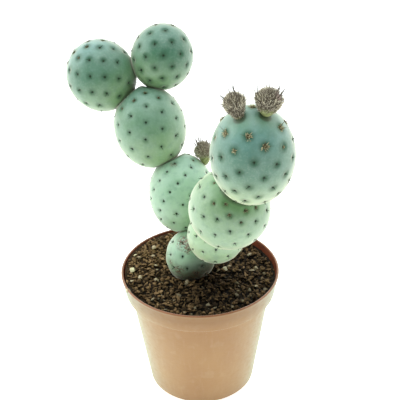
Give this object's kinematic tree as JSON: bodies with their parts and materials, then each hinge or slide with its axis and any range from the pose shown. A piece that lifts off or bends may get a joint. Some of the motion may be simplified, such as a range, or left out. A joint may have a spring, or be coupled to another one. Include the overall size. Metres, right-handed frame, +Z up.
{
  "type": "potted tephrocactus",
  "caption": "Small jointed cactus of rounded blue-green segments with bristly dry buds, standing in gravelly soil in a thin terracotta-coloured plastic pot.",
  "frame": {"origin": "centre of the pot's underside, where it rests", "axes": "+Z up, and -Y towards the front, from which the picture was taken"},
  "size_m": [0.114, 0.1352, 0.1984],
  "materials": {
    "pot_plastic": "satin",
    "soil_mix": "matte",
    "root_bark": "matte",
    "cactus_skin": "matte",
    "bud_bristles": "matte"
  },
  "bodies": {
    "root": {"pot": "pot_plastic", "soil": "soil_mix", "root": "root_bark", "segment_base": "cactus_skin", "segment_back_lower": "cactus_skin", "segment_back_middle": "cactus_skin", "segment_back_left": "cactus_skin", "segment_back_top": "cactus_skin", "segment_front_lower": "cactus_skin", "segment_front_middle": "cactus_skin", "segment_front_top": "cactus_skin", "bud_front_left": "bud_bristles", "bud_front_right": "bud_bristles", "bud_back": "bud_bristles"}
  },
  "joints": []
}
